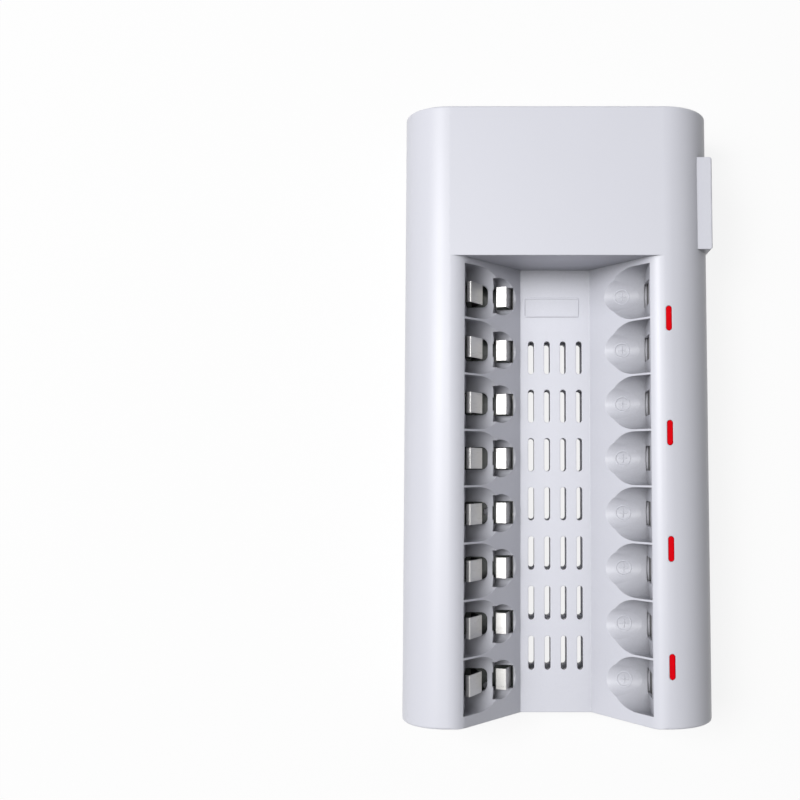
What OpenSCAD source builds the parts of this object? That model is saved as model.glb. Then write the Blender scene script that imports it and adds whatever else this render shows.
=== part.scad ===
/* [Cells] */
// Diameter of the large cell
aa_d = 14.5; // [13:0.1:17.5]
// Length of the large cell
aa_l = 50.5; // [42:0.5:61]
// Diameter of the small cell
aaa_d = 10.5; // [8.7:0.1:12.6]
// Length of the small cell
aaa_l = 44.5; // [37:0.5:46]
// Radial clearance round a cell in its cradle
cell_clear = 0.25; // [0.1:0.05:0.5]
// Spare length between the two end walls of a large cell
aa_end_clear = 1; // [0.5:0.1:2]
// Spare length behind a small cell
aaa_end_clear = 0.4; // [0.2:0.1:1]
// Tilt of the small cell, its flat end lower
aaa_tilt = 7; // [5:0.1:7.2]

/* [Case] */
// Width across the two battery banks
body_w = 87; // [84:1:105]
// Thickness from the back to the front face, without the feet
body_t = 30; // [28:0.5:36]
// Length of the head that holds the mains side
head_len = 42.4; // [38:0.2:60]
// Radius of the two long shoulders
shoulder_r = 13.5; // [10:0.5:14]
// Radius of the long edges of the back
back_r = 2.5; // [2.1:0.1:4]
// Radius of the edges round the two end faces
end_r = 0.6; // [0.3:0.1:1]
// Thickness of the case walls
wall = 2; // [1.6:0.1:2.4]
// Height of the parting line above the back
parting_h = 7; // [6:0.5:7.5]
// Height of the lip that keys the two shells
lip_h = 1.6; // [1:0.1:2.4]
// Thickness of that lip
lip_t = 1; // [0.8:0.1:1.2]
// Gap between pieces that seat in each other
seat_gap = 0.1; // [0.05:0.01:0.2]
// Height of the shadow groove at the parting line
groove_h = 0.5; // [0.3:0.1:0.8]
// Depth of that groove
groove_d = 0.4; // [0.2:0.1:0.6]

/* [Battery channel] */
// Depth of the channel floor below the front face
channel_d = 19.5; // [18.5:0.5:20.5]
// Width of the channel floor
floor_w = 20.4; // [19:0.2:24]
// Angle of the channel sides from the floor
side_angle = 49.5; // [48:0.5:52]
// How far the foot of the head's wall stands out into the channel
wall_draft = 0.45; // [0.2:0.05:0.8]
// Radius of the rounded inner crest of each bank
crest_r = 6; // [5:0.5:7]
// Depth of a large cell's axis below the front face
aa_axis_d = 6; // [5.5:0.1:6.5]
// Depth of a small cell's axis at its nub end
aaa_axis_d = 7.9; // [7.5:0.1:8.2]
// Thickness of the rib between two cradles
rib = 0.6; // [0.4:0.1:1.5]
// Length left plain between the head and the first cradle
head_rib = 1.9; // [1:0.1:4]
// Length left plain at the open end
tail_rib = 3.1; // [2.2:0.1:6]
// Thickness of the cradle shells
cradle_t = 1.4; // [1:0.1:1.8]
// Thickness of the end walls that the cells butt against
end_wall = 0.8; // [0.8:0.1:1.2]

/* [Contacts] */
// Thickness of the contact strip
leaf_t = 0.4; // [0.3:0.05:0.5]
// Width of the spring leaves
leaf_w = 5.8; // [5:0.1:6.2]
// Side clearance of a leaf in its window
leaf_clear = 0.35; // [0.3:0.05:0.5]
// Radius of the rolled root that a leaf flexes about
root_r = 0.45; // [0.4:0.05:0.6]
// How far a large cell's leaf stands out from its end wall
aa_leaf_reach = 4.45; // [3.5:0.05:5]
// How far a small cell's leaf stands out from its end wall
aaa_leaf_reach = 3.5; // [3:0.05:4]
// Width of the positive plates
plate_w = 8; // [7.4:0.1:8.4]
// Width of the window in front of a positive plate
plate_window_w = 7; // [6:0.1:7.2]
// Width of the tab that joins a plate to the board
tab_w = 3; // [2:0.5:4]

/* [Vents] */
// Length of a vent slot
vent_l = 9.7; // [7:0.1:11]
// Width of a vent slot
vent_w = 1.7; // [1.2:0.1:2.2]
// Distance between vent rows
vent_pitch = 14.3; // [12.5:0.1:15.5]
// Distance between vent columns
vent_column = 4.7; // [3.5:0.1:5]
// Distance from the channel's head wall to the first row's middle
vent_start = 26.5; // [24:0.5:34]

/* [Indicators] */
// Length of an indicator bar
bar_l = 6.8; // [5:0.1:8]
// Width of an indicator bar
bar_w = 1.5; // [1.2:0.1:2]
// Distance of the first bar past the rib between its two cells
bar_lag = 0.4; // [0:0.1:1]
// How much further apart the bars stand than two cells
bar_drift = 0.45; // [0:0.05:0.6]
// Distance of the bars out from the cell end wall
bar_out = 5; // [4.6:0.1:6]

/* [Inlet] */
// Length of the raised inlet hood
hood_l = 26.4; // [24:0.1:30]
// Height of the hood
hood_h = 12.8; // [11.5:0.1:13.5]
// Depth of the hood's upper face below the front face
hood_d = 4.1; // [3.8:0.1:6]
// Distance of the hood from the channel's head wall
hood_start = 2.6; // [2.5:0.1:8]
// How far the hood stands out of the side
hood_out = 0.5; // [0.3:0.1:2]
// Radius of an inlet pin
pin_r = 1.18; // [1:0.01:1.3]
// Distance between the inlet pins
pin_pitch = 8.6; // [8:0.1:9]
// Radius of the round lobes of the inlet recess
lobe_r = 3.75; // [3.4:0.05:3.8]
// Depth of the inlet recess
recess_d = 12; // [10:0.5:13]

/* [Board and fixings] */
// Thickness of the circuit board
board_t = 1.6; // [1:0.1:1.6]
// Radius of a rubber foot
foot_r = 4; // [3:0.5:4]
// How far the feet stand out of the back
foot_h = 1; // [0.6:0.1:2]
// Radius of the screw shank
screw_r = 1.4; // [1:0.1:1.5]
// Radius of the screw head
screw_head_r = 2.7; // [2:0.1:2.8]
// Length of the screw shank
screw_l = 14; // [10:0.5:16]

/* [Hidden] */
bays = 8;
bay_numbers = [1 : bays];
bars = 4;
bar_numbers = [1 : bars];
vent_columns = 4;
$fn = 64;
cut = 1;

// Heights
back_z = foot_h;
front_z = back_z + body_t;
parting_z = back_z + parting_h;
function at_depth(d) = front_z - d;

// Lengths: the head lies at +Y, the open end of the channel at -Y
aa_r = aa_d / 2 + cell_clear;
aaa_r = aaa_d / 2 + cell_clear / 2;
pitch = 2 * aa_r + rib;
channel_l = head_rib + bays * pitch - rib + tail_rib;
body_l = head_len + channel_l;
head_y = body_l / 2;
tail_y = -body_l / 2;
channel_y = head_y - head_len;
function bay_y(i) = channel_y - head_rib - aa_r - (i - 1) * pitch;
function bar_y(i) = bay_y(1) - pitch / 2 - bar_lag - (i - 1) * (2 * pitch + bar_drift);
vent_rows = 1 + floor((channel_l - vent_start - vent_l / 2 - wall) / vent_pitch);

// Channel section
floor_z = at_depth(channel_d);
corner_x = floor_w / 2 + channel_d / tan(side_angle);
crest_x = corner_x + crest_r * tan(side_angle / 2);

// Cell ends
wall_x = (aa_l + aa_end_clear) / 2;
plate_x = wall_x + end_wall + seat_gap;
aaa_span = (aaa_l + aaa_end_clear) * cos(aaa_tilt);
aaa_end_x = plate_x - aaa_span;
aaa_end_d = aaa_axis_d + (wall_x - aaa_end_x) * tan(aaa_tilt);

// Leaves: where they press on a cell and where they are rooted
aa_crest_x = -wall_x + aa_leaf_reach;
aa_root_x = aa_crest_x - 2.9;
aaa_crest_x = aaa_end_x + aaa_leaf_reach;
aaa_root_x = aaa_crest_x + 1.3;

// Board: a fork whose two arms lie under the banks
cradle_gap = 2.4;
floor_gap = 0.5;
board_top = min(at_depth(aaa_end_d + aaa_r + cradle_t) - cradle_gap, floor_z - wall - floor_gap);
board_bottom = board_top - board_t;
root_gap = 0.15;
root_z = board_top + root_gap + root_r;
board_edge = 1.5;
arm_in = min(floor_w / 2 + 1.8, -aaa_root_x - 1);
bar_x = wall_x + bar_out;
arm_out = bar_x + 2.4;
post_r = 2;
peg_r = 1;
peg_h = 0.5;
peg_gap = 0.15;
posts = [
    [20, tail_y + 7], [20, bay_y(5)], [20, bay_y(2) + pitch / 2], [24, head_y - 7]
];

// Screws and feet
lip_out = wall + seat_gap;
screw_x = body_w / 2 - wall - 4.5;
screw_ys = [tail_y + wall + 4.8, head_y - wall - 4.8];
boss_r = 3.2;
tower_r = screw_head_r + 1.6;
tower_gap = 0.5;
head_h = 1.8;
head_sink = 0.4;
head_gap = 0.4;
shank_z = back_z + head_sink + head_h;
shank_gap = 0.3;
thread_h = 0.3;
pilot_gap = 0.05;
pilot_spare = 2;
foot_x = screw_x - 1;
foot_ys = [tail_y + 18, head_y - 18];
foot_seat = 0.5;

// Inlet
hood_y = channel_y + hood_start + hood_l / 2;
hood_x = body_w / 2 + hood_out;
hood_in = body_w / 2 - wall - 3.5;
hood_z = at_depth(hood_d + hood_h / 2);
hood_edge_r = 0.5;
hood_corner_r = 0.8;
housing_l = pin_pitch + 2 * lobe_r + 2.9;
housing_h = 2 * lobe_r + 1.5;
housing_back = 1.5;
flange_t = 1.5;
flange_lap = 0.6;
housing_x = hood_x - recess_d - housing_back;
pin_tail = 2.5;
pin_tail_r = pin_r - 0.25;
pin_collar_r = pin_r + 0.4;
pin_set_back = 2.4;
lead_r = 0.8;
lead_bend = 3;

// A profile drawn in X and Z, drawn out along Y
module along_y(y0, y1) {
    translate([0, y1, 0]) rotate([90, 0, 0]) linear_extrude(y1 - y0) children();
}

// A rod along X between two places
module rod_x(x0, x1, r) {
    translate([x0, 0, 0]) rotate([0, 90, 0]) cylinder(h = x1 - x0, r = r);
}

// A box that is centred in X and Y and stands on its lower face
module slab(size) {
    translate([-size[0] / 2, -size[1] / 2, 0]) cube(size);
}

// A slot with round ends along Y
module stadium(l, w) {
    square([w, l - w], center = true);
    for (s = [-1, 1]) translate([0, s * (l - w) / 2]) circle(d = w);
}

// Case section, taken in all round by "inset"
module case_section(inset = 0) {
    half = body_w / 2 - inset;
    top = front_z - inset;
    low = back_z + inset;
    upper = shoulder_r - inset;
    lower = back_r - inset;
    translate([-half, low + lower]) square([2 * half, top - upper - low - lower]);
    translate([-half + upper, low + lower]) square([2 * (half - upper), top - low - lower]);
    translate([-half + lower, low]) square([2 * (half - lower), lower + cut]);
    for (s = [-1, 1]) {
        translate([s * (half - upper), top - upper]) circle(r = upper);
        translate([s * (half - lower), low + lower]) circle(r = lower);
    }
}

// A rectangle with round corners
module plate(l, w, r) {
    square([l, w - 2 * r], center = true);
    square([l - 2 * r, w], center = true);
    for (sx = [-1, 1], sy = [-1, 1]) translate([sx * (l / 2 - r), sy * (w / 2 - r)]) circle(r = r);
}

// A rod along Y, as long as the case, with its end edges rounded
module rod_y(r) {
    rotate([90, 0, 0]) rotate_extrude() intersection() {
        plate(2 * r, body_l, end_r);
        translate([0, -body_l]) square([r, 2 * body_l]);
    }
}

// The outside of the case without its channel, made of flats and rods with rounded ends
module case_solid() {
    half = body_w / 2;
    side_z = back_z + back_r;
    side_h = body_t - shoulder_r - back_r;
    translate([0, 0, side_z]) linear_extrude(side_h) plate(body_w, body_l, end_r);
    for (part = [[half - shoulder_r, side_z, front_z], [half - back_r, back_z, side_z + cut]])
        translate([-part[0], 0, (part[1] + part[2]) / 2]) rotate([90, 0, 90])
            linear_extrude(2 * part[0]) plate(body_l, part[2] - part[1], end_r);
    for (s = [-1, 1]) {
        translate([s * (half - shoulder_r), 0, front_z - shoulder_r]) rod_y(shoulder_r);
        translate([s * (half - back_r), 0, side_z]) rod_y(back_r);
    }
}

// Section of the channel, let out by "grow" on the material side
module channel_section(grow = 0) {
    r = crest_r - grow;
    low_x = floor_w / 2 + grow * tan(side_angle / 2);
    low_z = floor_z - grow;
    pivot = [crest_x, front_z - crest_r];
    touch = pivot + r * [-sin(side_angle), cos(side_angle)];
    right = [[low_x, low_z], touch, pivot, [pivot[0], front_z + cut]];
    difference() {
        polygon(concat(right, [for (i = [3 : -1 : 0]) [-right[i][0], right[i][1]]]));
        for (s = [-1, 1]) translate([s * pivot[0], pivot[1]]) circle(r = r);
    }
}

// The foot of the head's wall, which leans into the channel by the mould's draft
module wall_foot(grow = 0) {
    y = channel_y + grow;
    low = floor_z - grow - cut;
    lean = wall_draft * (front_z - low) / channel_d;
    rotate([90, 0, 90]) linear_extrude(body_w, center = true)
        polygon([[y, front_z], [y - lean, low], [y + cut, low], [y + cut, front_z]]);
}

// The outside of both shells as one block
module case_block() {
    difference() {
        union() {
            case_solid();
            hood_block();
        }
        difference() {
            along_y(tail_y - cut, channel_y) channel_section();
            wall_foot();
        }
    }
}

// The hollow inside both shells
module case_hollow() {
    difference() {
        along_y(tail_y + wall, head_y - wall) case_section(wall);
        along_y(tail_y, channel_y + wall) channel_section(wall);
    }
}

// Room for one large cell: a half-round trough, straight above the axis
module aa_room(grow = 0) {
    end = wall_x + (grow > 0 ? end_wall : 0);
    r = aa_r + grow;
    translate([0, 0, at_depth(aa_axis_d)]) {
        rod_x(-end, end, r);
        translate([-end, -r, 0]) cube([2 * end, 2 * r, aa_axis_d + cut]);
    }
}

// Room for one small cell, tilted down to its spring, with a shallow seat for its nub end
nub_seat = 0.2;
module aaa_room(grow = 0) {
    r = aaa_r + grow;
    l = (wall_x + nub_seat - aaa_end_x) / cos(aaa_tilt) - aaa_r * tan(aaa_tilt);
    translate([aaa_end_x, 0, at_depth(aaa_end_d)])
        rotate([0, -aaa_tilt, 0]) rod_x(-grow, l, r);
}

module each_bay() {
    for (i = bay_numbers) translate([0, bay_y(i), 0]) children();
}

// Windows that the two leaves of a bay come through and swing back into
aa_window_in = aaa_end_x - aaa_r * sin(aaa_tilt) - 1.1;
aa_window_top_d = 3.6;
aa_window_r = 1.8;
aaa_window_in = aaa_end_x + 5.6;
aaa_window_out = aaa_end_x - 2.4;
window_w = leaf_w + 2 * leaf_clear;
undercut_l = 1.75;
undercut_h = 1.3;
undercut_lip = 0.3;
module leaf_windows() {
    aa_x = -wall_x - end_wall - 0.3;
    bridge_z = at_depth(aa_axis_d + aa_r + cradle_t + 0.1);
    aa_window_l = aa_window_in - aa_x;
    translate([aa_x, 0, board_top]) linear_extrude(at_depth(aa_window_top_d) - board_top) {
        translate([0, -window_w / 2]) square([aa_window_l - aa_window_r, window_w]);
        translate([aa_window_l / 2, 0]) plate(aa_window_l, window_w, aa_window_r);
    }
    translate([aaa_window_out, -window_w / 2, board_top])
        cube([aaa_window_in - aaa_window_out, window_w, bridge_z - board_top]);
    // Undercut of the small pocket's end wall, for the tail of its leaf
    top = at_depth(aaa_end_d) - bridge_z;
    along_y(-window_w / 2, window_w / 2) translate([aaa_end_x, bridge_z]) polygon([
        [cut, -cut], [-undercut_l, -cut], [-undercut_l, 0], [-undercut_l + undercut_lip, undercut_lip],
        [-undercut_lip, undercut_h], [-undercut_lip, top], [cut, top]
    ]);
}

// Window in the end wall that lets only a cell's nub reach the positive plate
plate_reach = crest_r - wall - seat_gap;
plate_top_d = crest_r - sqrt(max(0, pow(plate_reach, 2) - pow(crest_x - plate_x, 2)));
plate_window_d = aa_axis_d + aa_r + 0.2;
module plate_window() {
    translate([wall_x, -plate_window_w / 2, at_depth(plate_window_d)])
        cube([end_wall + cut, plate_window_w, plate_window_d - plate_top_d - leaf_t]);
}

// Vent slots, lined up through the channel floor and the back
module vents(z, h) {
    for (row = [0 : vent_rows - 1], column = [0 : vent_columns - 1]) {
        x = (column - (vent_columns - 1) / 2) * vent_column;
        y = channel_y - vent_start - row * vent_pitch;
        translate([x, y, z]) linear_extrude(h) stadium(vent_l, vent_w);
    }
}

// Raised block round the mains inlet, its edges and corners rounded
module hood_block() {
    l = hood_x - hood_in;
    translate([hood_in + l / 2, hood_y, hood_z]) intersection() {
        along_y(-hood_l / 2, hood_l / 2) plate(l, hood_h, hood_edge_r);
        translate([0, 0, -hood_h / 2]) linear_extrude(hood_h) plate(l, hood_l, hood_corner_r);
    }
}

module at_screws() {
    for (s = [-1, 1], y = screw_ys) translate([s * screw_x, y, 0]) children();
}

module at_posts() {
    for (s = [-1, 1], p = posts) translate([s * p[0], p[1], 0]) children();
}

module bar_slot(gap) {
    linear_extrude(front_z) stadium(bar_l + 2 * gap, bar_w + 2 * gap);
}

// A frame that follows the case walls between two insets and two heights
module rim(outer, inner, z0, z1) {
    translate([0, 0, z0]) linear_extrude(z1 - z0) difference() {
        square([body_w - 2 * outer, body_l - 2 * outer], center = true);
        square([body_w - 2 * inner, body_l - 2 * inner], center = true);
    }
}

module top_shell() {
    color("#e4e4ea") difference() {
        intersection() {
            case_block();
            translate([0, 0, parting_z]) slab([2 * body_w, 2 * body_l, body_t]);
        }
        difference() {
            case_hollow();
            each_bay() aa_room(cradle_t);
            each_bay() aaa_room(cradle_t);
            hood_block();
            at_screws() cylinder(h = front_z, r = boss_r);
        }
        rim(-cut, groove_d, parting_z - cut, parting_z + groove_h);
        each_bay() aa_room();
        each_bay() aaa_room();
        each_bay() leaf_windows();
        each_bay() plate_window();
        vents(floor_z - wall - cut, wall + 2 * cut);
        for (i = bar_numbers) translate([bar_x, bar_y(i), back_z + wall]) bar_slot(seat_gap);
        translate([hood_in - cut, hood_y, hood_z]) housing_block(hood_x, seat_gap);
        at_screws() translate([0, 0, shank_z])
            cylinder(h = screw_l + pilot_spare, r = screw_r - thread_h + pilot_gap);
    }
}

module bottom_shell() {
    color("#dcdce2") difference() {
        union() {
            difference() {
                intersection() {
                    case_solid();
                    translate([0, 0, back_z]) slab([2 * body_w, 2 * body_l, parting_h]);
                }
                along_y(tail_y + wall, head_y - wall) case_section(wall);
            }
            rim(wall - seat_gap, lip_out + lip_t, parting_z - lip_h, parting_z);
            rim(lip_out, lip_out + lip_t, parting_z - cut, parting_z + lip_h);
            at_screws() translate([0, 0, back_z]) cylinder(h = parting_h - seat_gap, r = tower_r);
            at_posts() translate([0, 0, back_z]) {
                cylinder(h = board_bottom - back_z, r = post_r);
                cylinder(h = board_top - back_z + peg_h, r = peg_r);
            }
        }
        along_y(tail_y, channel_y + lip_out) channel_section(lip_out);
        vents(back_z - cut, wall + 2 * cut);
        at_screws() {
            cylinder(h = front_z, r = screw_r + shank_gap);
            cylinder(h = shank_z, r = screw_head_r + head_gap);
        }
        for (s = [-1, 1], y = foot_ys) translate([s * foot_x, y, 0])
            cylinder(h = back_z + foot_seat, r = foot_r + seat_gap);
    }
}

module rubber_feet() {
    bevel = foot_h * 0.6;
    h = back_z + foot_seat;
    color("#303032") for (s = [-1, 1], y = foot_ys) translate([s * foot_x, y, 0])
        rotate_extrude()
            polygon([[0, 0], [foot_r - bevel, 0], [foot_r, bevel], [foot_r, h], [0, h]]);
}

// Pan-head screws with a cross recess
module case_screws() {
    recess = [2.6, 0.6, 1];
    color("silver") at_screws() difference() {
        union() {
            translate([0, 0, shank_z - head_h]) cylinder(h = head_h, r = screw_head_r);
            translate([0, 0, shank_z]) cylinder(h = screw_l, r = screw_r - thread_h);
        }
        for (a = [0, 90]) rotate(a) translate([0, 0, shank_z - head_h - cut])
            slab([recess[0], recess[1], recess[2] + cut]);
    }
}

module main_board() {
    back_y = head_y - wall - board_edge;
    fork_y = channel_y + wall + board_edge;
    arm_y = tail_y + wall + board_edge;
    deck_x = body_w / 2 - lip_out - lip_t - board_edge;
    color("#2f6b3c") translate([0, 0, board_bottom]) difference() {
        linear_extrude(board_t) {
            translate([-deck_x, fork_y]) square([2 * deck_x, back_y - fork_y]);
            for (s = [-1, 1]) translate([s > 0 ? arm_in : -arm_out, arm_y])
                square([arm_out - arm_in, fork_y - arm_y + cut]);
        }
        at_posts() translate([0, 0, -cut]) cylinder(h = board_t + 2 * cut, r = peg_r + peg_gap);
        at_screws() translate([0, 0, -cut]) cylinder(h = board_t + 2 * cut, r = tower_r + tower_gap);
    }
}

// A bent strip: a line through points in X and Z, given its thickness and width
module strip_section(points) {
    for (i = [0 : len(points) - 2]) {
        a = points[i];
        step = points[i + 1] - a;
        translate(a) rotate(atan2(step[1], step[0]))
            translate([0, -leaf_t / 2]) square([norm(step), leaf_t]);
    }
    for (p = points) translate(p) circle(d = leaf_t);
}

module spring_leaf(points) {
    color("#d0d0cc") along_y(-leaf_w / 2, leaf_w / 2) {
        strip_section(points);
        translate(points[0]) circle(r = root_r);
    }
}

// Leaf for a large cell: up the wall, out to its crest and back over the top
module aa_spring() {
    knee_d = 15.3;
    crest_d = aa_axis_d + 4.2;
    tip_d = 4.5;
    spring_leaf([
        [aa_root_x, root_z], [aa_root_x, at_depth(knee_d)], [aa_crest_x, at_depth(crest_d)],
        [-wall_x + 1.5, at_depth(tip_d)], [-wall_x + 0.5, at_depth(tip_d + 0.32)]
    ]);
}

// Leaf for a small cell: a step that stands in the pocket of the tilted cradle
module aaa_spring() {
    knee_d = aaa_end_d + 4.9;
    tail = [2.7, 1];
    spring_leaf([
        [aaa_root_x, root_z], [aaa_root_x, at_depth(knee_d)], [aaa_crest_x, at_depth(aaa_end_d)],
        [aaa_crest_x - tail[0], at_depth(aaa_end_d + tail[1])]
    ]);
}

// Plate behind the end wall, with a narrow tab down to its foot on the board
module positive_contact() {
    foot_l = 2.2;
    plate_low = at_depth(plate_window_d + 1.2);
    color("#d0d0cc") translate([plate_x, 0, 0]) {
        translate([0, -plate_w / 2, plate_low])
            cube([leaf_t, plate_w, at_depth(plate_top_d) - plate_low]);
        translate([0, -tab_w / 2, board_top]) cube([leaf_t, tab_w, plate_low - board_top + cut]);
        translate([0, -tab_w / 2, board_top]) cube([foot_l, tab_w, leaf_t]);
    }
}

// Red bar that carries the light from the board up to the front face
led_r = 1.5;
led_h = 4;
led_gap = 0.4;
module light_pipe() {
    low = board_top + led_h + led_gap;
    flange_lip = 0.8;
    flange_h = 1;
    flange_in = max(0, bar_x + bar_w / 2 + flange_lip - body_w / 2 + shoulder_r);
    flange_r = shoulder_r - wall - seat_gap;
    flange_z = front_z - shoulder_r + sqrt(pow(flange_r, 2) - pow(flange_in, 2)) - flange_h;
    color("red") {
        intersection() {
            translate([0, 0, low]) linear_extrude(front_z - low) stadium(bar_l, bar_w);
            translate([-bar_x, 0, 0]) along_y(-bar_l, bar_l) case_section();
        }
        translate([0, 0, flange_z]) linear_extrude(flange_h)
            stadium(bar_l + 2 * flange_lip, bar_w + 2 * flange_lip);
    }
}

module indicator_led() {
    color("#d84040") translate([0, 0, board_top]) {
        cylinder(h = 0.8, r = led_r + 0.4);
        cylinder(h = led_h - led_r, r = led_r);
        translate([0, 0, led_h - led_r]) sphere(r = led_r);
    }
}

// Outline of the inlet housing, drawn along +X from the origin
module housing_block(l, gap = 0) {
    r = 1.5;
    half_l = housing_l / 2 + gap;
    half_h = housing_h / 2 + gap;
    translate([0, -half_l + r, -half_h]) cube([l, 2 * (half_l - r), 2 * half_h]);
    translate([0, -half_l, -half_h + r]) cube([l, 2 * half_l, 2 * (half_h - r)]);
    for (sy = [-1, 1], sz = [-1, 1])
        translate([0, sy * (half_l - r), sz * (half_h - r)]) rod_x(0, l, r);
}

module inlet_housing() {
    color("#29292b") translate([0, hood_y, hood_z]) difference() {
        union() {
            translate([housing_x, 0, 0]) housing_block(hood_x - housing_x);
            translate([hood_in - seat_gap - flange_t, 0, 0]) housing_block(flange_t, flange_lap);
        }
        translate([hood_x - recess_d, -pin_pitch / 2, 1 - lobe_r])
            cube([recess_d + cut, pin_pitch, 2 * (lobe_r - 1)]);
        for (s = [-1, 1]) translate([0, s * pin_pitch / 2, 0]) {
            rod_x(hood_x - recess_d, hood_x + cut, lobe_r);
            rod_x(housing_x - cut, hood_x, pin_collar_r);
        }
    }
}

// Pin with a thicker collar in the back wall of the housing and a thinner tail behind it
module inlet_pin(s) {
    end = hood_x - pin_set_back - pin_r;
    color("silver") translate([0, hood_y + s * pin_pitch / 2, hood_z]) {
        rod_x(housing_x - pin_tail, housing_x + housing_back / 2, pin_tail_r);
        rod_x(housing_x, housing_x + housing_back, pin_collar_r);
        rod_x(housing_x + housing_back / 2, end, pin_r);
        translate([end, 0, 0]) sphere(r = pin_r);
    }
}

// Two wires that bend down from the pin tails to the board
module inlet_leads() {
    start = housing_x - pin_tail;
    drop = hood_z - lead_bend - board_top;
    for (s = [-1, 1]) color(s > 0 ? "#3b6fb5" : "#7a4a2a")
        translate([start, hood_y + s * pin_pitch / 2, hood_z - lead_bend]) {
            rotate([90, 0, 0]) rotate([0, 0, 90]) rotate_extrude(angle = 90)
                translate([lead_bend, 0]) circle(r = lead_r);
            translate([-lead_bend, 0, -drop]) cylinder(h = drop, r = lead_r);
        }
}

// Parts of the mains side, each standing on the board
core_size = [20, 17, 17];
core_at = [-5, head_y - 20];
core_leg = 5.2;
core_side = 3.1;
core_yoke = 3.5;
coil_gap = 0.3;
coil_t = 3;
module on_board(at) {
    translate([at[0], at[1], board_top]) children();
}

module transformer_core() {
    window = (core_size[0] - core_leg) / 2 - core_side;
    color("#4a4a4c") on_board(core_at) difference() {
        slab(core_size);
        for (s = [-1, 1]) translate([s * (core_leg + window) / 2, 0, core_yoke])
            slab([window, core_size[1] + 2 * cut, core_size[2] - 2 * core_yoke]);
    }
}

// Winding round the middle leg of the core
module transformer_winding() {
    low = core_yoke + coil_gap;
    coil_w = core_size[0] - 2 * (core_side + coil_gap);
    coil_h = core_size[2] - 2 * low;
    color("#d8b13a") on_board(core_at) translate([0, 0, low]) difference() {
        slab([coil_w, core_size[1] + 2 * coil_t, coil_h]);
        translate([0, 0, -cut])
            slab([core_leg + 2 * coil_gap, core_size[1] + 2 * coil_gap, coil_h + 2 * cut]);
    }
}

// Capacitor can with a crimp groove near its seal
module can(r, h) {
    groove = 0.4;
    groove_z = 2;
    rotate_extrude() polygon([
        [0, 0], [r - groove, 0], [r, groove], [r, groove_z - groove], [r - groove, groove_z],
        [r, groove_z + groove], [r, h - groove], [r - groove, h], [0, h]
    ]);
}

module bulk_capacitor() {
    color("#2c2c44") on_board([13, head_y - 10]) can(5, 17);
}

module output_capacitor() {
    color("#2c2c44") on_board([-25, head_y - 12]) can(4, 13);
}

module film_capacitor() {
    color("#d9b233") on_board([14, head_y - 23]) slab([12, 6, 10.5]);
}

// Glass fuse with an end cap on each side and a clip under each cap
module fuse() {
    half_l = 4.5;
    cap_r = 2;
    lift = 2.3;
    color("#cfcfc8") on_board([14, head_y - 31]) {
        translate([0, 0, lift]) rod_x(-half_l, half_l, cap_r - 0.3);
        for (s = [-1, 1]) translate([s * half_l, 0, lift]) rod_x(-1.5, 1.5, cap_r);
        for (s = [-1, 1]) translate([s * half_l, 0, 0]) slab([1, 1, lift - cap_r + 0.7]);
    }
}

module bridge_rectifier() {
    color("#2a2a2a") on_board([-25, head_y - 23]) slab([8, 6.5, 3]);
}

module switching_transistor() {
    color("#2a2a2a") on_board([-5, head_y - 35.5]) {
        slab([10, 4.4, 9]);
        translate([0, -1.6, 0]) slab([10, 1.2, 15]);
    }
}

module charge_controller() {
    chip = [12.8, 7.5, 2.2];
    leg = [0.4, 1.2, 1.2];
    leg_pitch = 1.27;
    legs = 10;
    color("#2a2a2a") on_board([-25, head_y - 33]) {
        translate([0, 0, 0.3]) slab(chip);
        for (i = [1 : legs], s = [-1, 1])
            translate([(i - (legs + 1) / 2) * leg_pitch, s * (chip[1] / 2 + 0.4), 0]) slab(leg);
    }
}

top_shell();
bottom_shell();
main_board();
case_screws();
rubber_feet();
for (i = bay_numbers) translate([0, bay_y(i), 0]) {
    aa_spring();
    aaa_spring();
    positive_contact();
}
for (i = bar_numbers) translate([bar_x, bar_y(i), 0]) {
    light_pipe();
    indicator_led();
}
inlet_housing();
inlet_pin(-1);  // inlet_pin_front
inlet_pin(1);  // inlet_pin_back
inlet_leads();
transformer_core();
transformer_winding();
bulk_capacitor();
output_capacitor();
film_capacitor();
fuse();
bridge_rectifier();
switching_transistor();
charge_controller();
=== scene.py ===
import math
import bpy
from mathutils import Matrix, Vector


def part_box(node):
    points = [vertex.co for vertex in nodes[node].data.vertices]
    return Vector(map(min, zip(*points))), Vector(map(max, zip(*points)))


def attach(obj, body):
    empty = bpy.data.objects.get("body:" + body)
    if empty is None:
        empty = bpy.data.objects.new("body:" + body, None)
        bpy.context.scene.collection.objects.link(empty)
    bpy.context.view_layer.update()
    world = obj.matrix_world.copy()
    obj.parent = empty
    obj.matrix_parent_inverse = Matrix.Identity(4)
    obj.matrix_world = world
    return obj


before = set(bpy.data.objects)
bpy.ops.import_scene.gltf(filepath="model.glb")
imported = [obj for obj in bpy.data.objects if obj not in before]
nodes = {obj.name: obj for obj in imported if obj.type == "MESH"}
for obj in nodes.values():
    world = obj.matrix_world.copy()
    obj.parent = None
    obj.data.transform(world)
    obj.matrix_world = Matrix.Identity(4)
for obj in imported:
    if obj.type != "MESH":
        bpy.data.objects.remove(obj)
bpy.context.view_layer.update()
bayNumbers = range(1, 9)
barNumbers = range(1, 5)
print("frame loaded:", len(nodes), "nodes")


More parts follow.
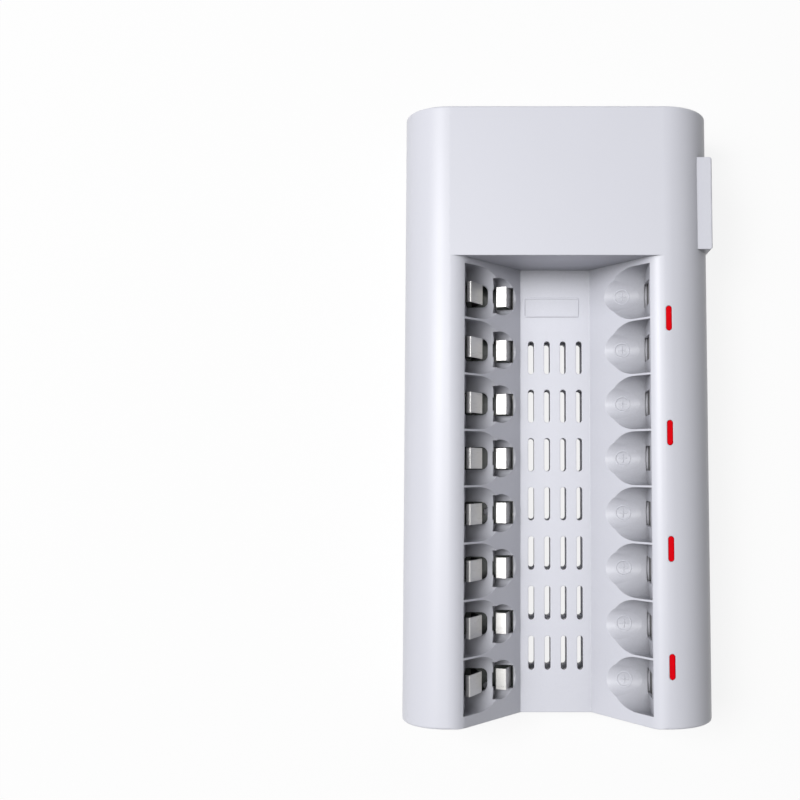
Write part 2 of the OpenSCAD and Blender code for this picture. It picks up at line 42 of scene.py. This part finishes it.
class Wire:
    # wraps one shader socket: sums on it add Math nodes, and node() adds any other kind
    def __init__(self, tree, socket=None):
        self.tree = tree
        self.socket = socket

    def node(self, kind, settings={}, inputs={}, out=0):
        made = self.tree.nodes.new("ShaderNode" + kind)
        for key, value in settings.items():
            if key == "stops":
                for stop, (place, level) in zip(made.color_ramp.elements, value):
                    stop.position = place
                    stop.color = (level, level, level, 1)
            else:
                setattr(made, key, value)
        for key, value in inputs.items():
            if isinstance(value, Wire):
                self.tree.links.new(value.socket, made.inputs[key])
            else:
                made.inputs[key].default_value = value
        return Wire(self.tree, made.outputs[out])

    def maths(self, operation, first, second=0.0, clamp=False):
        settings = {"operation": operation, "use_clamp": clamp}
        return self.node("Math", settings, {0: first, 1: second})

    def __add__(self, other):
        return self.maths("ADD", self, other)

    def __radd__(self, other):
        return self.maths("ADD", other, self)

    def __sub__(self, other):
        return self.maths("SUBTRACT", self, other)

    def __rsub__(self, other):
        return self.maths("SUBTRACT", other, self)

    def __mul__(self, other):
        return self.maths("MULTIPLY", self, other)

    def __rmul__(self, other):
        return self.maths("MULTIPLY", other, self)

    def __gt__(self, other):
        return self.maths("GREATER_THAN", self, other)

    def __lt__(self, other):
        return self.maths("LESS_THAN", self, other)

    def __abs__(self):
        return self.maths("ABSOLUTE", self)

    def limited(self):
        return self.maths("ADD", self, 0.0, clamp=True)

    def axes(self):
        # the x, y and z of a place
        x = self.node("SeparateXYZ", {}, {0: self})
        y, z = (Wire(self.tree, x.socket.node.outputs[axis]) for axis in (1, 2))
        return x, y, z

    def blend(self, first, second):
        # a colour between two, by this socket
        return self.node("Mix", {"data_type": "RGBA"}, {0: self, 6: first, 7: second}, out=2)

    def noise(self, where, scale, detail=2.0, rough=0.5):
        return self.node("TexNoise", {}, {
            "Vector": where, "Scale": scale, "Detail": detail, "Roughness": rough})

    def stretched(self, where, scale, turn=(0, 0, 0), move=(0, 0, 0)):
        return self.node("Mapping", {}, {
            "Vector": where, "Scale": scale, "Rotation": turn, "Location": move})


def colour(r, g, b):
    return (r, g, b, 1.0)


def shade(base, factor):
    return (base[0] * factor, base[1] * factor, base[2] * factor, 1.0)


def newMaterial(name):
    material = bpy.data.materials.new(name)
    material.use_nodes = True
    tree = material.node_tree
    tree.nodes.clear()
    start = Wire(tree)
    where = start.node("TexCoord", out="Object")
    return material, start, where


def closeMaterial(material, start, looks, links):
    # the shader itself: constants go on its sockets, and links hold what changes over the surface
    shader = start.tree.nodes.new("ShaderNodeBsdfPrincipled")
    for key, value in looks.items():
        shader.inputs[key].default_value = value
    for key, value in links.items():
        start.tree.links.new(value.socket, shader.inputs[key])
    output = start.tree.nodes.new("ShaderNodeOutputMaterial")
    start.tree.links.new(shader.outputs[0], output.inputs[0])
    return material


def bump(start, height, strength, distance, under=None):
    inputs = {"Height": height, "Strength": strength, "Distance": distance}
    if under is not None:
        inputs["Normal"] = under
    return start.node("Bump", {}, inputs)


casePlastic = {
    "colour": colour(0.715, 0.722, 0.79),
    "rough": 0.37,
    "roughSpread": 0.08,
    "grain": 2600.0,       # grains of the mould's fine texture, per metre
    "grainHeight": 0.00001,
    "flow": 35.0,          # broad tone drift over the moulding
    "edge": 0.00035,       # radius that the mould leaves on every edge
    "hollow": 0.016,       # how near a facing wall must be for the colour to be darkened there as painted shade
    "hollowFrom": 0.05,    # openness at which the painted shade is at its darkest
    "hollowTo": 0.98,      # openness at which the plastic has its plain colour, free of painted shade
    "hollowTone": 0.10,    # share of the plain colour left where the painted shade is darkest
}


def makeCasePlastic(name, look, tone=1.0):
    # pale moulded plastic with a fine grain; its colour is darkened in the cradles, corners and slots as
    # painted shade
    material, start, where = newMaterial(name)
    base = shade(look["colour"], tone)
    grain = start.noise(where, look["grain"], 3.0, 0.6)
    drift = start.noise(where, look["flow"], 2.0, 0.4)
    soft = start.node("Bevel", {"samples": 6}, {"Radius": look["edge"]})
    # ambient occlusion darkens the base colour in hollows: painted shade, not a colour of the plastic
    openness = start.node("AmbientOcclusion", {"samples": 6, "only_local": True}, {
        "Distance": look["hollow"]}, out="AO")
    paintedShadeMask = start.node("MapRange", {}, {
        "Value": openness, "From Min": look["hollowFrom"], "From Max": look["hollowTo"]})
    surface = drift.blend(shade(base, 0.985), shade(base, 1.01))
    rough = look["rough"] + (drift - 0.5) * look["roughSpread"] + (grain - 0.5) * look["roughSpread"]
    return closeMaterial(material, start, {"IOR": 1.5, "Specular IOR Level": 0.5}, {
        "Base Color": paintedShadeMask.blend(shade(base, look["hollowTone"]), surface),
        "Roughness": rough,
        "Normal": bump(start, grain, 0.35, look["grainHeight"], soft),
    })


blackPlastic = {"colour": colour(0.012, 0.012, 0.013), "rough": 0.42, "grain": 2200.0, "edge": 0.0002}


def makeBlackPlastic(name, look, tone=1.0):
    material, start, where = newMaterial(name)
    base = shade(look["colour"], tone)
    grain = start.noise(where, look["grain"], 3.0, 0.6)
    drift = start.noise(where, 180.0, 2.0)
    soft = start.node("Bevel", {"samples": 4}, {"Radius": look["edge"]})
    return closeMaterial(material, start, {"IOR": 1.5}, {
        "Base Color": drift.blend(shade(base, 0.8), shade(base, 1.3)),
        "Roughness": look["rough"] + (grain - 0.5) * 0.25,
        "Normal": bump(start, grain, 0.5, 0.00002, soft),
    })


contactNickel = {
    "colour": colour(0.51, 0.505, 0.495),
    "dull": colour(0.445, 0.44, 0.43),
    "rough": 0.28,
    "roughSpread": 0.16,
    "rolling": (250.0, 9000.0, 250.0),  # rolling lines run along the strip
}


def makeStripMetal(name, look):
    material, start, where = newMaterial(name)
    lines = start.noise(start.stretched(where, look["rolling"]), 1.0, 4.0, 0.6)
    stain = start.noise(where, 320.0, 3.0, 0.55)
    flat = start.node("NewGeometry", out="True Normal")  # each bent length of strip is a true plane
    return closeMaterial(material, start, {"Metallic": 1.0}, {
        "Base Color": stain.blend(look["dull"], look["colour"]),
        "Roughness": look["rough"] + (lines - 0.4) * look["roughSpread"],
        "Normal": bump(start, lines, 0.25, 0.00002, flat),
    })


# the plates' nickel is darker than the contacts' to stand in for the shade in their recessed slots:
# painted shade
plateNickelPaintedShade = {
    "colour": colour(0.28, 0.275, 0.27),
    "dull": colour(0.22, 0.215, 0.21),
    "rough": 0.48,
    "roughSpread": 0.14,
    "rolling": (250.0, 3200.0, 250.0),
}
pinNickel = {
    "colour": colour(0.74, 0.73, 0.70),
    "dull": colour(0.55, 0.54, 0.51),
    "rough": 0.2,
    "roughSpread": 0.2,
    "rolling": (4200.0, 300.0, 300.0),  # turning marks run round the pin
}
screwSteel = {
    "colour": colour(0.50, 0.50, 0.51),
    "dull": colour(0.34, 0.34, 0.35),
    "rough": 0.3,
    "roughSpread": 0.3,
    "rolling": (1800.0, 1800.0, 5200.0),
}


redLens = {"colour": colour(0.84, 0.002, 0.008), "deep": colour(0.62, 0.001, 0.006), "rough": 0.4}


def makeRedLens(name, look):
    material, start, where = newMaterial(name)
    cloud = start.noise(where, 420.0, 2.0)
    grain = start.noise(where, 2400.0, 2.0)
    soft = start.node("Bevel", {"samples": 4}, {"Radius": 0.0002})
    tintAndGlow = cloud.blend(look["deep"], look["colour"])
    # the lens glows faintly in its own tint though it is no lamp: painted light
    looks = {"IOR": 1.49, "Specular IOR Level": 0.04, "Emission Strength": 0.1}
    return closeMaterial(material, start, looks, {
        "Base Color": tintAndGlow,
        "Emission Color": tintAndGlow,
        "Roughness": look["rough"] + (grain - 0.5) * 0.12,
        "Normal": bump(start, grain, 0.2, 0.000008, soft),
    })


diodeResin = {"colour": colour(0.62, 0.03, 0.02), "rim": colour(0.30, 0.012, 0.01)}


def makeDiodeResin(name, look):
    material, start, where = newMaterial(name)
    swirl = start.noise(where, 900.0, 3.0)
    looks = {"IOR": 1.53, "Coat Weight": 0.6, "Coat Roughness": 0.05}
    return closeMaterial(material, start, looks, {
        "Base Color": swirl.blend(look["rim"], look["colour"]),
        "Roughness": 0.12 + swirl * 0.15,
        "Normal": bump(start, swirl, 0.1, 0.00002),
    })


boardMask = {
    "mask": colour(0.050, 0.062, 0.055),
    "track": colour(0.070, 0.088, 0.077),
    "pad": colour(0.30, 0.30, 0.28),
    "tracks": 170.0,       # tracks and pads per metre
    "pads": 230.0,
    "gap": 0.12,           # share of a track's width left clear beside it
    "padReach": 0.16,
}


def makeBoard(name, look):
    material, start, where = newMaterial(name)
    walls = start.node("TexVoronoi", {"feature": "DISTANCE_TO_EDGE"}, {
        "Vector": where, "Scale": look["tracks"]})
    dots = start.node("TexVoronoi", {"feature": "F1"}, {
        "Vector": where, "Scale": look["pads"], "Randomness": 0.6})
    track = walls > look["gap"]
    pad = dots < look["padReach"]
    weave = start.noise(where, 2600.0, 2.0)
    green = track.blend(look["mask"], look["track"])
    return closeMaterial(material, start, {"IOR": 1.5, "Coat Weight": 0.3, "Coat Roughness": 0.15}, {
        "Base Color": pad.blend(green, look["pad"]),
        "Metallic": pad * 1.0,
        "Roughness": 0.32 + weave * 0.12,
        "Normal": bump(start, track + pad * 0.5 + weave * 0.1, 0.4, 0.00004),
    })


ferrite = {"colour": colour(0.045, 0.045, 0.05), "fleck": colour(0.11, 0.11, 0.12)}


def makeFerrite(name, look):
    material, start, where = newMaterial(name)
    grit = start.noise(where, 2600.0, 4.0, 0.7)
    fleck = start.node("TexVoronoi", {}, {"Vector": where, "Scale": 1500.0})
    soft = start.node("Bevel", {"samples": 4}, {"Radius": 0.0003})
    return closeMaterial(material, start, {}, {
        "Base Color": (fleck < 0.18).blend(look["colour"], look["fleck"]),
        "Roughness": 0.6 + grit * 0.25,
        "Normal": bump(start, grit, 0.6, 0.00004, soft),
    })


windingTape = {"colour": colour(0.72, 0.42, 0.03), "overlap": colour(0.50, 0.27, 0.015), "turn": 0.0021}
filmBox = {"colour": colour(0.60, 0.36, 0.03), "overlap": colour(0.44, 0.25, 0.02), "turn": 0.02}


def makeTape(name, look):
    material, start, where = newMaterial(name)
    wrap = start.node("TexWave", {"bands_direction": "Z"}, {
        "Vector": where, "Scale": 0.314 / look["turn"], "Distortion": 0.6, "Detail": 1.0})
    crinkle = start.noise(where, 520.0, 3.0)
    soft = start.node("Bevel", {"samples": 4}, {"Radius": 0.0003})
    return closeMaterial(material, start, {"IOR": 1.5}, {
        "Base Color": (wrap * 0.7 + crinkle * 0.3).blend(look["overlap"], look["colour"]),
        "Roughness": 0.22 + crinkle * 0.2,
        "Normal": bump(start, wrap + crinkle * 0.3, 0.3, 0.00005, soft),
    })


canSleeve = {
    "sleeve": colour(0.012, 0.013, 0.035),
    "stripe": colour(0.55, 0.56, 0.60),
    "lid": colour(0.66, 0.66, 0.67),
    "lidDepth": 0.0006,
    "lidShare": 0.86,      # the lid's reach and the stripe's start, as shares of the can's radius
    "stripeFrom": 0.55,
    "crossWidth": 0.0003,
}


def makeCan(name, look, node):
    # dark sleeve with a pale stripe down one side and a bare metal lid with its vent cross
    low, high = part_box(node)
    middle = (low + high) / 2
    reach = (high.x - low.x) / 2
    material, start, where = newMaterial(name)
    place = start.stretched(where, (1, 1, 1), move=(-middle.x, -middle.y, 0))
    x, y, z = place.axes()
    far = start.node("VectorMath", {"operation": "LENGTH"}, {
        0: start.stretched(place, (1, 1, 0))}, out="Value")
    lid = (z > high.z - look["lidDepth"]) * (far < reach * look["lidShare"])
    stripe = (x < -reach * look["stripeFrom"]) * (1 - lid)
    cross = (abs(x) < look["crossWidth"]) + (abs(y) < look["crossWidth"])
    grain = start.noise(where, 1500.0, 2.0)
    body = stripe.blend(look["sleeve"], look["stripe"])
    return closeMaterial(material, start, {"IOR": 1.5}, {
        "Base Color": lid.blend(body, look["lid"]),
        "Metallic": lid * 1.0,
        "Roughness": 0.2 + grain * 0.15,
        "Normal": bump(start, 1 - (cross * lid).limited() + grain * 0.05, 0.6, 0.00015),
    })


fuseGlass = {"glass": colour(0.62, 0.66, 0.64), "cap": colour(0.70, 0.69, 0.66), "capLength": 0.003}


def makeFuse(name, look):
    low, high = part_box("fuse")
    middle = (low + high) / 2
    reach = (high.x - low.x) / 2
    material, start, where = newMaterial(name)
    x, y, z = where.axes()
    cap = abs(x - middle.x) > reach - look["capLength"]
    wear = start.noise(where, 1400.0, 3.0)
    return closeMaterial(material, start, {"IOR": 1.5}, {
        "Base Color": cap.blend(look["glass"], look["cap"]),
        "Metallic": cap * 1.0,
        "Roughness": 0.06 + cap * 0.2 + wear * 0.1,
        "Normal": bump(start, wear, 0.12, 0.00002),
    })


footRubber = {"colour": colour(0.018, 0.018, 0.019), "dust": colour(0.05, 0.05, 0.052)}


def makeRubber(name, look):
    material, start, where = newMaterial(name)
    grit = start.noise(where, 1900.0, 4.0, 0.65)
    dust = start.noise(where, 260.0, 3.0)
    soft = start.node("Bevel", {"samples": 4}, {"Radius": 0.0003})
    return closeMaterial(material, start, {"IOR": 1.5, "Specular IOR Level": 0.3}, {
        "Base Color": (dust * grit * 1.6).limited().blend(look["colour"], look["dust"]),
        "Roughness": 0.68 + grit * 0.22,
        "Normal": bump(start, grit, 0.6, 0.00005, soft),
    })


leadColours = {"front": colour(0.20, 0.075, 0.03), "back": colour(0.03, 0.10, 0.38)}


def makeLeads(name, look):
    # brown wire on the front pin, blue on the back one
    low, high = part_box("inlet_leads")
    material, start, where = newMaterial(name)
    x, y, z = where.axes()
    grain = start.noise(where, 1700.0, 2.0)
    return closeMaterial(material, start, {"IOR": 1.5}, {
        "Base Color": (y > (low.y + high.y) / 2).blend(look["front"], look["back"]),
        "Roughness": 0.32 + grain * 0.15,
        "Normal": bump(start, grain, 0.25, 0.00003),
    })


def dress(material, *names):
    for name in names:
        node = nodes[name]
        node.data.materials.clear()
        node.data.materials.append(material)


caseFinish = makeCasePlastic("casePlastic", casePlastic)
dress(caseFinish, "top_shell")
dress(makeCasePlastic("backPlastic", casePlastic, 0.98), "bottom_shell")
dress(makeBoard("boardMask", boardMask), "main_board")
dress(makeStripMetal("screwSteel", screwSteel), "case_screws")
dress(makeRubber("footRubber", footRubber), "rubber_feet")
leafNames = [f"{kind}_{i}" for kind in ("aa_spring", "aaa_spring") for i in bayNumbers]
dress(makeStripMetal("contactNickel", contactNickel), *leafNames)
dress(makeStripMetal("plateNickelPaintedShade", plateNickelPaintedShade), *[f"positive_contact_{i}" for i in bayNumbers])
dress(makeRedLens("redLens", redLens), *[f"light_pipe_{i}" for i in barNumbers])
dress(makeDiodeResin("diodeResin", diodeResin), *[f"indicator_led_{i}" for i in barNumbers])
dress(makeBlackPlastic("inletPlastic", blackPlastic), "inlet_housing")
dress(makeBlackPlastic("chipPlastic", blackPlastic, 1.4), "bridge_rectifier", "charge_controller")
dress(makeBlackPlastic("transistorPlastic", blackPlastic, 1.1), "switching_transistor")
dress(makeStripMetal("pinNickel", pinNickel), "inlet_pin_front", "inlet_pin_back")
dress(makeLeads("leadInsulation", leadColours), "inlet_leads")
dress(makeFerrite("ferrite", ferrite), "transformer_core")
dress(makeTape("windingTape", windingTape), "transformer_winding")
dress(makeTape("filmBox", filmBox), "film_capacitor")
dress(makeCan("bulkCan", canSleeve, "bulk_capacitor"), "bulk_capacitor")
dress(makeCan("outputCan", canSleeve, "output_capacitor"), "output_capacitor")
dress(makeFuse("fuseGlass", fuseGlass), "fuse")
print("finishes on", len(nodes), "nodes")


def nothingSelected():
    if bpy.context.object is not None and bpy.context.object.mode != "OBJECT":
        bpy.ops.object.mode_set(mode="OBJECT")
    bpy.ops.object.select_all(action="DESELECT")


def named(name):
    made = bpy.context.active_object
    made.name = name
    made.data.name = name
    return made


def placed(piece):
    # bakes the object's place into its mesh
    nothingSelected()
    piece.select_set(True)
    bpy.context.view_layer.objects.active = piece
    bpy.ops.object.transform_apply(location=True, rotation=True, scale=True)


def applied(piece, kind, **settings):
    modifier = piece.modifiers.new(kind.title(), kind)
    for key, value in settings.items():
        setattr(modifier, key, value)
    nothingSelected()
    piece.select_set(True)
    bpy.context.view_layer.objects.active = piece
    bpy.ops.object.modifier_apply(modifier=modifier.name)


def faceOut(piece):
    nothingSelected()
    piece.select_set(True)
    bpy.context.view_layer.objects.active = piece
    bpy.ops.object.mode_set(mode="EDIT")
    bpy.ops.mesh.select_all(action="SELECT")
    bpy.ops.mesh.remove_doubles(threshold=0.000002)
    bpy.ops.mesh.normals_make_consistent(inside=False)
    bpy.ops.object.mode_set(mode="OBJECT")


plusMark = {
    "x": 0.0192,         # place along a bay, just in from its end wall
    "ring": 0.00225,     # outer radius of the circle
    "line": 0.0004,      # width of the raised line
    "arm": 0.0012,       # half length of the plus
    "height": 0.00008,
    "sunk": 0.00005,     # how far the lines reach into the plastic
    "above": 0.034,      # height that they are dropped from
}


def flatRing(look):
    bpy.ops.mesh.primitive_circle_add(
        vertices=48, radius=look["ring"], fill_type="NGON", location=(0, 0, 0))
    ring = named("plusRing")
    bpy.ops.object.mode_set(mode="EDIT")
    bpy.ops.mesh.select_all(action="SELECT")
    bpy.ops.mesh.inset(thickness=look["line"])
    bpy.ops.mesh.delete(type="FACE")
    bpy.ops.object.mode_set(mode="OBJECT")
    return ring


def flatPlus(look):
    # two crossing bars, cut into short faces so that they can follow the curved floor
    bars = []
    for turn in (0, 1):
        bpy.ops.mesh.primitive_grid_add(x_subdivisions=14, y_subdivisions=2, size=1, location=(0, 0, 0))
        bar = named("plusBar")
        bpy.ops.object.mode_set(mode="EDIT")
        bpy.ops.mesh.select_all(action="SELECT")
        bpy.ops.transform.resize(value=(2 * look["arm"], look["line"], 1))
        if turn:
            bpy.ops.transform.rotate(value=math.pi / 2, orient_axis="Z", center_override=(0, 0, 0))
        bpy.ops.object.mode_set(mode="OBJECT")
        bars.append(bar)
    return bars


def plusPiece(i, look):
    low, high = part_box(f"positive_contact_{i}")
    thick = look["height"] + look["sunk"]
    nothingSelected()
    ring = flatRing(look)
    nothingSelected()
    parts = [ring] + flatPlus(look)
    nothingSelected()
    for part in parts:
        part.select_set(True)
    bpy.context.view_layer.objects.active = ring
    bpy.ops.object.join()
    mark = named(f"plus_mark_{i}")
    mark.location = (look["x"], (low.y + high.y) / 2, look["above"])
    placed(mark)
    applied(mark, "SHRINKWRAP", target=nodes["top_shell"], wrap_method="PROJECT",
            use_project_x=False, use_project_y=False, use_project_z=True,
            use_negative_direction=True, use_positive_direction=False)
    applied(mark, "SOLIDIFY", thickness=thick, offset=2 * look["height"] / thick - 1)
    faceOut(mark)
    return mark


markFinish = makeCasePlastic("markPlastic", casePlastic, 0.86)
for i in bayNumbers:
    mark = plusPiece(i, plusMark)
    mark.data.materials.append(markFinish)
    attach(mark, "case")
print("plus marks raised in", len(bayNumbers), "cradles")


labelFrame = {
    "low": (-0.00898, 0.0288),
    "high": (0.00708, 0.0348),
    "floor": 0.0115,
    "line": 0.0005,        # width of the line above and below
    "side": 0.0002,        # width of the line at the two ends
    "height": 0.0001,
    "sunk": 0.00005,
    "corner": 0.0007,
}


def makeLabelFrame(look):
    nothingSelected()
    low, high = Vector(look["low"]), Vector(look["high"])
    middle, span = (low + high) / 2, high - low
    bpy.ops.mesh.primitive_plane_add(size=1, location=(0, 0, 0))
    outline = named("label_frame")
    bpy.ops.object.mode_set(mode="EDIT")
    bpy.ops.mesh.select_all(action="SELECT")
    bpy.ops.transform.resize(value=(span.x, span.y, 1))
    bpy.ops.mesh.bevel(affect="VERTICES", offset=look["corner"], segments=4)
    bpy.ops.mesh.select_all(action="SELECT")
    bpy.ops.mesh.inset(thickness=look["line"])
    inside = span.x - 2 * look["line"]
    bpy.ops.transform.resize(value=((span.x - 2 * look["side"]) / inside, 1, 1))
    bpy.ops.mesh.delete(type="FACE")
    bpy.ops.mesh.select_all(action="SELECT")
    thick = look["height"] + look["sunk"]
    bpy.ops.mesh.extrude_region_move(TRANSFORM_OT_translate={"value": (0, 0, thick)})
    bpy.ops.object.mode_set(mode="OBJECT")
    outline.location = (middle.x, middle.y, look["floor"] - look["sunk"])
    placed(outline)
    faceOut(outline)
    return outline


outline = makeLabelFrame(labelFrame)
outline.data.materials.append(markFinish)
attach(outline, "case")
print("label frame left blank on the channel floor")


studio = {
    "floorSize": 6.0,
    "floorColour": colour(0.42, 0.42, 0.425),
    "floorSeen": colour(0.92, 0.92, 0.92),  # the paper's colour to the camera
    "floorShows": 0.87,    # share of plain white that the camera sees on it
    "ambient": 0.05,
    "lamps": {             # each leans to the left and towards the head, in degrees
        "keyLight": {"lean": (25, 9), "distance": 1.6, "size": 0.7, "power": 10.5},
        "sideLight": {"lean": (33, 5), "distance": 1.6, "size": 0.9, "power": 10.3},
        "topLight": {"lean": (3, 3), "distance": 1.6, "size": 0.7, "power": 4.5},
    },
}


def lookingRays(start):
    # 1 for what the camera, a reflection or a see-through surface looks at, 0 for light on things
    camera, glossy, through = (
        start.node("LightPath", out=f"Is {kind} Ray") for kind in ("Camera", "Glossy", "Transmission"))
    return (camera + glossy + through).limited()


def makeFloor(look):
    nothingSelected()
    bpy.ops.mesh.primitive_plane_add(size=look["floorSize"], location=(0, 0, 0))
    floor = named("studio_floor")
    material = bpy.data.materials.new("floorPaper")
    material.use_nodes = True
    tree = material.node_tree
    tree.nodes.clear()
    start = Wire(tree)
    looking = lookingRays(start)
    paper = start.node("BsdfDiffuse", {}, {"Color": looking.blend(look["floorColour"], look["floorSeen"])})
    white = start.node("Emission", {}, {"Color": colour(1, 1, 1), "Strength": 1.0})
    both = start.node("MixShader", {}, {0: looking * look["floorShows"], 1: paper, 2: white})
    output = tree.nodes.new("ShaderNodeOutputMaterial")
    tree.links.new(both.socket, output.inputs[0])
    floor.data.materials.append(material)


def makeLamp(name, look):
    data = bpy.data.lights.new(name, "AREA")
    data.shape = "DISK"
    data.size = look["size"]
    data.energy = look["power"]
    lamp = bpy.data.objects.new(name, data)
    bpy.context.scene.collection.objects.link(lamp)
    left, along = (math.radians(degrees) for degrees in look["lean"])
    away = Vector((-math.sin(left) * math.cos(along), math.sin(along), math.cos(left) * math.cos(along)))
    lamp.location = away * look["distance"]
    lamp.rotation_euler = away.to_track_quat("Z", "Y").to_euler()


def makeSky(look):
    world = bpy.data.worlds.new("studioSky")
    bpy.context.scene.world = world
    world.use_nodes = True
    tree = world.node_tree
    tree.nodes.clear()
    start = Wire(tree)
    strength = look["ambient"] + lookingRays(start) * (1 - look["ambient"])
    sky = start.node("Background", {}, {"Color": colour(1, 1, 1), "Strength": strength})
    output = tree.nodes.new("ShaderNodeOutputWorld")
    tree.links.new(sky.socket, output.inputs[0])


cameraSet = {
    "place": (-0.011773, -0.015022, 0.303087),
    "tilt": 0.0665,
    "lens": 44.67,
    "sensor": 36.0,
    "shiftX": -0.1438,
}


def makeCamera(look):
    data = bpy.data.cameras.new("photoCamera")
    data.sensor_width = look["sensor"]
    data.lens = look["lens"]
    data.shift_x = look["shiftX"]
    data.clip_start = 0.01
    camera = bpy.data.objects.new("photoCamera", data)
    bpy.context.scene.collection.objects.link(camera)
    camera.location = look["place"]
    camera.rotation_euler = (look["tilt"], 0, 0)
    bpy.context.scene.camera = camera


makeFloor(studio)
for lampName, lampLook in studio["lamps"].items():
    makeLamp(lampName, lampLook)
makeSky(studio)
makeCamera(cameraSet)
bpy.context.scene.view_settings.view_transform = "Standard"
print("studio and camera set")
